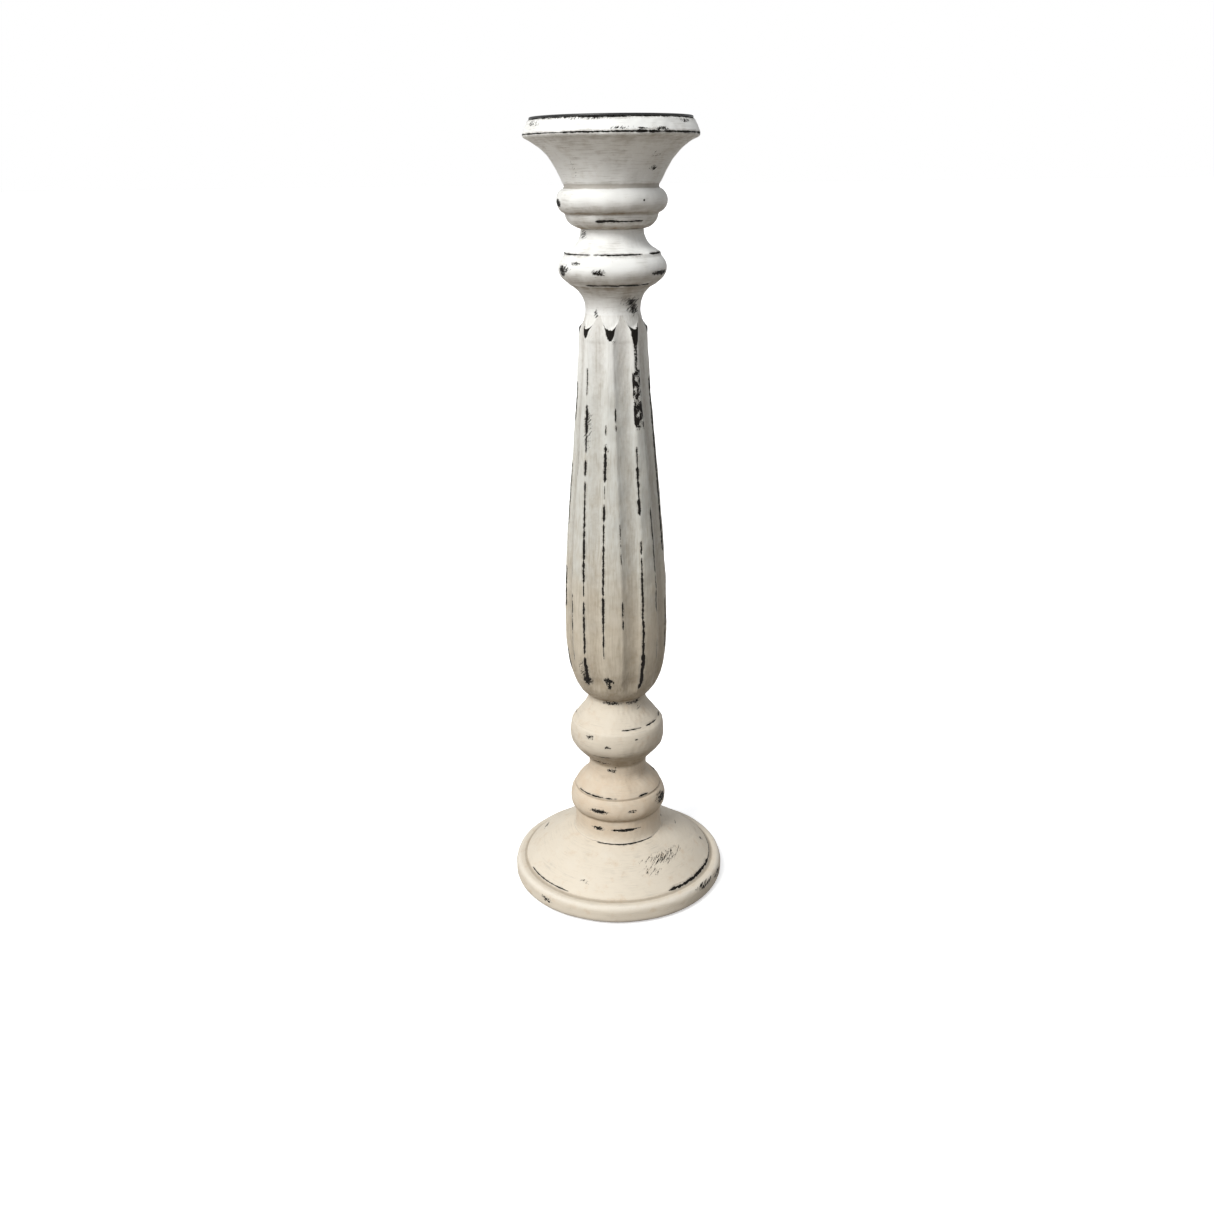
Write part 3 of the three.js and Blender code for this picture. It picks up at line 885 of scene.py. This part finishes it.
def brown_felt():
    """Dense felt of short mixed fibres."""
    g = Graph("brown_felt")
    fibres = g.noise(3.2, detail=5, roughness=0.75, distortion=1.2)
    tufts = g.noise(0.8, detail=3)
    colour = g.mix(g.step(fibres, -0.2, 0.25), (0.075, 0.050, 0.034), (0.21, 0.155, 0.11))
    colour = g.mix(g.step(tufts, 0.05, 0.3, 0.0, 0.4), colour, (0.045, 0.03, 0.02))
    g.set("Base Color", colour)
    g.set("Roughness", g.add(0.94, g.times(fibres, 0.1)))
    g.set("Sheen Weight", 0.35)
    g.set("Sheen Roughness", 0.6)
    g.bump(g.add(fibres, g.times(tufts, 0.5)), 0.25)
    return g.material


def studio_floor_material():
    g = Graph("pale_floor")
    g.set("Base Color", (0.86, 0.86, 0.86, 1.0))
    g.set("Roughness", 0.9)
    g.set("Specular IOR Level", 0.0)
    g.set("Emission Color", (1.0, 1.0, 1.0, 1.0))
    g.set("Emission Strength", 0.5)
    return g.material


# ---- pieces ----


def stands_for(piece, node, material):
    piece.data.materials.append(material)
    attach(piece, "root")
    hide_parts(node)
    return piece


def make_foot(material):
    inside = [
        (SOCKET_RADIUS, FOOT_SOCKET_FLOOR),
        (BORE_RADIUS, FOOT_SOCKET_FLOOR),
        (BORE_RADIUS, FOOT_COUNTERBORE_TOP),
        (COUNTERBORE_RADIUS, FOOT_COUNTERBORE_TOP),
        (COUNTERBORE_RADIUS, FOOT_BASE + 0.5),
        (COUNTERBORE_RADIUS + 0.5, FOOT_BASE),
        (30.0, FOOT_BASE),
        (FOOT_RADIUS - 4.0, FOOT_BASE),
        (FOOT_RADIUS - 3.0, FOOT_BASE),
    ]
    piece = turned_wood("foot_turning", "foot", foot_outline(), 360, 11, inside, closed=True)
    return stands_for(piece, "foot", material)


def make_column(material):
    pilot_bottom = node_size("foot_screw")[1] + 1
    pilot_top = node_size("cup_screw")[0] - 1
    inside = [
        (TENON_RADIUS, TENON_TOP - 0.8),
        (TENON_RADIUS - 0.8, TENON_TOP),
        (BORE_RADIUS, TENON_TOP),
        (BORE_RADIUS, pilot_top),
    ]
    outline = column_outline()
    piece = turned_wood(
        "column_turning", "column", outline, 320, 23, inside, closed=False, shape=fluted, patch_count=34
    )
    close_lower_end(piece, pilot_top, pilot_bottom)
    return stands_for(piece, "column", material)


def close_lower_end(piece, pilot_top, pilot_bottom):
    """Adds the lower tenon with its pilot hole, and the blind end of the upper pilot hole."""
    made = bmesh.new()
    made.from_mesh(piece.data)
    made.edges.ensure_lookup_table()
    bare = made.verts.layers.float["bare"]
    edge = made.verts.layers.float["edge_mm"]

    def open_loop(height):
        return [e for e in made.edges if e.is_boundary and abs(e.verts[0].co.z - height * MM) < 2e-4]

    def extrude(edges, radius, height):
        grown = bmesh.ops.extrude_edge_only(made, edges=edges)["geom"]
        for v in [g for g in grown if isinstance(g, bmesh.types.BMVert)]:
            flat = Vector((v.co.x, v.co.y)).normalized() * radius * MM
            v.co = Vector((flat.x, flat.y, height * MM))
            v[bare] = 1.0
            v[edge] = 9.0
        return [g for g in grown if isinstance(g, bmesh.types.BMEdge)]

    def cap(edges, height):
        centre = made.verts.new((0, 0, height * MM))
        centre[bare] = 1.0
        centre[edge] = 9.0
        for e in edges:
            made.faces.new((e.verts[0], e.verts[1], centre))

    loop = open_loop(FOOT_TOP)
    for radius, height in (
        (TENON_RADIUS, TENON_BOTTOM + 0.8),
        (TENON_RADIUS - 0.8, TENON_BOTTOM),
        (BORE_RADIUS, TENON_BOTTOM),
        (BORE_RADIUS, pilot_bottom),
    ):
        loop = extrude(loop, radius, height)
    cap(loop, pilot_bottom)
    cap(open_loop(pilot_top), pilot_top)
    bmesh.ops.recalc_face_normals(made, faces=made.faces)
    made.to_mesh(piece.data)
    made.free()
    piece.data.shade_smooth()


def make_cup(material):
    inside = [
        (RECESS_RADIUS, RECESS_FLOOR + 0.5),
        (RECESS_RADIUS - 0.5, RECESS_FLOOR),
        (COUNTERBORE_RADIUS, RECESS_FLOOR),
        (COUNTERBORE_RADIUS, CUP_COUNTERBORE_FLOOR),
        (BORE_RADIUS, CUP_COUNTERBORE_FLOOR),
        (BORE_RADIUS, CUP_SOCKET_TOP),
        (SOCKET_RADIUS, CUP_SOCKET_TOP),
    ]
    piece = turned_wood("cup_turning", "cup", cup_outline(), 320, 37, inside, closed=True, patch_count=8)
    return stands_for(piece, "cup", material)


def make_pan(material):
    """The pressed pan: a flat flange with a rounded lip, a step in the wall, and a flat floor."""
    top, lip_radius, opening = PAN_TOP, FLANGE_RADIUS, PAN_OPENING
    sheet = 1.1
    floor = PAN_BOTTOM + sheet
    step_top = top - 2.3
    step_radius = opening - 0.9
    wall = opening + sheet
    floor_radius = opening - 2.2
    upper = np.vstack(
        [
            curve((lip_radius, top - sheet), (lip_radius, top), (lip_radius - 0.7, top), steps=8),
            curve((opening + 1.4, top), (opening, top), (opening, top - 1.2), steps=8),
            curve((opening, step_top + 0.5), (opening, step_top), (step_radius, step_top - 0.2), steps=6),
            curve(
                (step_radius, step_top - 0.3), (step_radius - 0.5, step_top - 1), (37.5, floor + 0.9), steps=5
            ),
            curve((37.4, floor + 0.7), (floor_radius + 0.3, floor), (floor_radius, floor), steps=6),
        ]
    )
    lower = np.vstack(
        [
            curve((floor_radius, PAN_BOTTOM), (38.0, PAN_BOTTOM), (38.4, PAN_BOTTOM + 0.6), steps=5),
            curve((39.1, step_top - 1.3), (wall, step_top - 1.1), (wall, step_top), steps=5),
            corners((wall, top - sheet - 0.4), (wall + 0.5, top - sheet)),
        ]
    )
    floor_rings = corners(*[(r, floor + 0.03 * math.cos(r / 5)) for r in (34.0, 28.0, 21.0, 14.0, 7.0, 2.0)])
    base_rings = corners((2.0, PAN_BOTTOM), (20.0, PAN_BOTTOM))
    outline = np.vstack([base_rings, lower, upper, floor_rings])
    azimuth = np.arange(192)[None, :] * 360 / 192
    radius, height = spun(outline, azimuth)
    ease = smooth(radius, 20, 36) * smooth(-radius, -41, -38)
    height = height + 0.02 * ripples(azimuth, radius, 40, 26, 5) * ease
    lip = np.abs(radius - (lip_radius - 0.2)) + np.abs(height - top)
    piece = mesh_of_rings("pressed_pan", placed(azimuth, radius, height), {"edge_mm": lip}, PAN_BOTTOM, floor)
    return stands_for(piece, "candle_pan", material)


def make_screw(name, node, material, tip_up):
    """A wood screw with a rolled thread, a domed head and a tapered cross recess."""
    low, high, head_radius = node_size(node)
    length = high - low
    head_height = 2.8
    core, crest, pitch = 1.75, 2.5, 2.0
    tip_length = 5.0
    facets = 96
    azimuth = np.arange(facets)[None, :] * 360 / facets
    face = [(r, 0.0) for r in np.arange(0.25, 3.6, 0.22)]
    dome = curve((3.7, 0.02), (head_radius, 0.6), (head_radius, 1.8), steps=8).tolist()
    under = [(head_radius, head_height - 0.15), (head_radius - 0.15, head_height), (crest + 0.3, head_height)]
    top = np.array(face + dome + under, float)
    shank = np.arange(head_height + 0.2, length - 0.3, 0.18)
    radius = np.concatenate([top[:, 0], np.full(len(shank), core)])[:, None] + 0 * azimuth
    height = np.concatenate([top[:, 1], shank])[:, None] + 0 * azimuth
    phase = (height / pitch - azimuth / 360) % 1
    ridge = np.clip(1 - np.abs(phase - 0.5) / 0.32, 0, 1)
    threaded = smooth(height, head_height + 3, head_height + 5)
    taper = np.clip((length - height) / tip_length, 0, 1) ** 0.8
    on_shank = height > head_height + 0.1
    plain = core + 0.45
    body = plain + (core - plain) * threaded
    radius = np.where(on_shank, (body + (crest - core) * ridge * threaded) * taper + 0.05, radius)
    x, y = radius * np.cos(np.radians(azimuth)), radius * np.sin(np.radians(azimuth))
    long_arm, half_slot = 2.5, 0.62
    x, y = np.abs(x), np.abs(y)
    arm = np.minimum(np.maximum(x / long_arm, y / half_slot), np.maximum(y / long_arm, x / half_slot))
    recess = 1.7 * smooth(-arm, -1.08, -0.55)
    height = height + np.where(height < 0.3, recess, 0)
    if tip_up:
        rings = placed(azimuth, radius, low + height)
        tips = (low + 1.7, high)
    else:
        rings = placed(azimuth, radius, high - height)[::-1]
        tips = (low, high - 1.7)
    piece = mesh_of_rings(name, rings, None, *tips)
    return stands_for(piece, node, material)


def make_washer(name, node, material):
    """A stamped washer with one edge rounded by the punch."""
    low, high, outer = node_size(node)
    azimuth = np.arange(64)[None, :] * 360 / 64
    outline = np.vstack(
        [
            corners((BORE_RADIUS, low), (outer - 0.1, low)),
            curve((outer, low + 0.1), (outer, high), (outer - 0.5, high), steps=6),
            curve((BORE_RADIUS + 0.4, high), (BORE_RADIUS, high), (BORE_RADIUS, high - 0.4), steps=5),
            corners((BORE_RADIUS, low + 0.1)),
        ]
    )
    piece = mesh_of_rings(name, placed(azimuth, *spun(outline, azimuth)), closed=True)
    return stands_for(piece, node, material)


def make_pad(number, material):
    """A felt disc, cut a little unevenly, with a soft edge."""
    node = f"felt_pad_{number}"
    low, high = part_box(node)
    middle = (low + high) / 2 / MM
    radius = (high.x - low.x) / 2 / MM
    thick = high.z / MM
    azimuth = np.arange(96)[None, :] * 360 / 96
    across = np.arange(1.0, radius - 0.5, 0.6)
    outline = np.vstack(
        [
            np.column_stack([across, 0 * across + 0.02]),
            curve((radius - 0.5, 0.02), (radius, 0.05), (radius, 0.5), steps=4),
            curve((radius, 0.9), (radius, thick), (radius - 0.3, thick), steps=4),
            np.column_stack([across[::-1], 0 * across + thick]),
        ]
    )
    r, z = spun(outline, azimuth)
    fuzz = ripples(azimuth, distances(outline)[:, None], radius, 1.6, 60 + number)
    under = smooth(-z, -0.8, -0.1) * smooth(r, 0.8, 2.0)
    z = z + 0.05 * np.abs(fuzz) * under
    r = r - 0.08 * np.abs(fuzz) * smooth(r, radius - 0.6, radius)
    rings = placed(azimuth, r, z)
    rings[..., 0] += middle.x
    rings[..., 1] += middle.y
    piece = mesh_of_rings(f"felt_disc_{number}", rings)
    fill_ends(piece)
    return stands_for(piece, node, material)


def fill_ends(piece):
    """Closes the two small open rings of a disc."""
    made = bmesh.new()
    made.from_mesh(piece.data)
    bmesh.ops.holes_fill(made, edges=[e for e in made.edges if e.is_boundary], sides=0)
    bmesh.ops.recalc_face_normals(made, faces=made.faces)
    made.to_mesh(piece.data)
    made.free()
    piece.data.shade_smooth()


# ---- camera, floor and lights ----

CAMERA_DISTANCE = 0.678  # from the axis, level
CAMERA_HEIGHT = 0.4299
CAMERA_AZIMUTH = 2.75  # degrees round to the right of the front rib
CAMERA_PITCH = -20.1
CAMERA_YAW = 0.46  # the candlestick stands a little to the right of the picture's middle
CAMERA_ROLL = -0.75
CAMERA_LENS = 35.3  # mm, on a 36 mm sensor


def make_camera():
    data = bpy.data.cameras.new("camera")
    data.sensor_width = 36
    data.lens = CAMERA_LENS
    data.clip_start = 0.05
    data.clip_end = 60
    camera = in_scene("camera", data)
    turn = math.radians(CAMERA_AZIMUTH)
    place = Vector((CAMERA_DISTANCE * math.sin(turn), -CAMERA_DISTANCE * math.cos(turn), CAMERA_HEIGHT))
    look = Matrix.Rotation(turn + math.radians(CAMERA_YAW), 4, "Z")
    look = look @ Matrix.Rotation(math.radians(90 + CAMERA_PITCH), 4, "X")
    look = look @ Matrix.Rotation(math.radians(CAMERA_ROLL), 4, "Z")
    camera.matrix_world = Matrix.Translation(place) @ look
    bpy.context.scene.camera = camera


def make_floor():
    mesh = bpy.data.meshes.new("floor")
    half = 40.0
    corners_of_floor = [(-half, -half, 0), (half, -half, 0), (half, half, 0), (-half, half, 0)]
    mesh.from_pydata(corners_of_floor, [], [(0, 1, 2, 3)])
    floor = in_scene("floor", mesh)
    floor.data.materials.append(studio_floor_material())
    floor.visible_diffuse = False  # the light in the studio comes from above, and little from the floor


def sun_light(name, azimuth, elevation, spread, strength, colour):
    """A wide soft light from far away, at this azimuth and elevation."""
    data = bpy.data.lights.new(name, "SUN")
    data.angle = math.radians(spread)
    data.energy = strength
    data.color = colour
    light = in_scene(name, data)
    level = math.cos(math.radians(elevation))
    turn = math.radians(azimuth - 90)
    source = Vector((level * math.cos(turn), level * math.sin(turn), math.sin(math.radians(elevation))))
    light.rotation_euler = source.to_track_quat("Z", "Y").to_euler()


def low_panel():
    """A soft panel low down in front and to the left, which reaches under the cup's bell."""
    azimuth, away, up, aim = -34, 0.9, 0.14, 0.36
    data = bpy.data.lights.new("low_panel", "AREA")
    data.size = 0.6
    data.energy = 1.9
    light = in_scene("low_panel", data)
    light.visible_camera = False
    turn = math.radians(azimuth - 90)
    place = Vector((away * math.cos(turn), away * math.sin(turn), up))
    light.location = place
    light.rotation_euler = (place - Vector((0, 0, aim))).to_track_quat("Z", "Y").to_euler()


WORLD_STOPS = [  # from straight down to straight up
    (0.0, (0.15, 0.12, 0.085)),
    (0.44, (0.20, 0.17, 0.135)),
    (0.56, (0.36, 0.365, 0.37)),
    (1.0, (0.62, 0.63, 0.65)),
]
WORLD_LEFT = 1.4
WORLD_RIGHT = 0.85


def make_world():
    """White as the camera sees it. Its light grows from below to above, and is stronger from the left."""
    world = bpy.data.worlds.new("studio")
    bpy.context.scene.world = world
    world.use_nodes = True
    tree = world.node_tree
    tree.nodes.clear()

    def node(kind, **values):
        made = tree.nodes.new(kind)
        for key, value in values.items():
            made.inputs[key.replace("_", " ")].default_value = value
        return made

    place = node("ShaderNodeTexCoord")
    split = node("ShaderNodeSeparateXYZ")
    ramp = node("ShaderNodeValToRGB")
    height = node("ShaderNodeMapRange", From_Min=-1.0)
    side = node("ShaderNodeMapRange", From_Min=-1.0, To_Min=WORLD_LEFT, To_Max=WORLD_RIGHT)
    dim = node("ShaderNodeBackground")
    white = node("ShaderNodeBackground", Color=(1.0, 1.0, 1.0, 1.0))
    seen = node("ShaderNodeLightPath")
    choose = node("ShaderNodeMixShader")
    output = node("ShaderNodeOutputWorld")
    stops = ramp.color_ramp.elements
    stops[0].color = (*WORLD_STOPS[0][1], 1.0)
    stops[1].color = (*WORLD_STOPS[-1][1], 1.0)
    for position, colour in WORLD_STOPS[1:-1]:
        stops.new(position).color = (*colour, 1.0)
    for source, target in (
        (place.outputs["Generated"], split.inputs[0]),
        (split.outputs["Z"], height.inputs["Value"]),
        (height.outputs["Result"], ramp.inputs["Fac"]),
        (ramp.outputs["Color"], dim.inputs["Color"]),
        (split.outputs["X"], side.inputs["Value"]),
        (side.outputs["Result"], dim.inputs["Strength"]),
        (seen.outputs["Is Camera Ray"], choose.inputs[0]),
        (dim.outputs[0], choose.inputs[1]),
        (white.outputs[0], choose.inputs[2]),
        (choose.outputs[0], output.inputs["Surface"]),
    ):
        tree.links.new(source, target)


# ---- the scene ----

make_camera()
make_floor()
make_world()
sun_light("key", -33, 46, 26, 2.45, (1.0, 0.995, 0.975))
low_panel()
bpy.context.scene.view_settings.view_transform = "Standard"

paint = painted_wood()
enamel = black_enamel()
zinc = zinc_plate()
felt = brown_felt()

make_foot(paint)
make_column(paint)
make_cup(paint)
make_pan(enamel)
make_screw("lower_wood_screw", "foot_screw", zinc, tip_up=True)
make_washer("lower_washer", "foot_washer", zinc)
make_screw("upper_wood_screw", "cup_screw", zinc, tip_up=False)
make_washer("upper_washer", "cup_washer", zinc)
for pad_number in range(1, 5):
    make_pad(pad_number, felt)
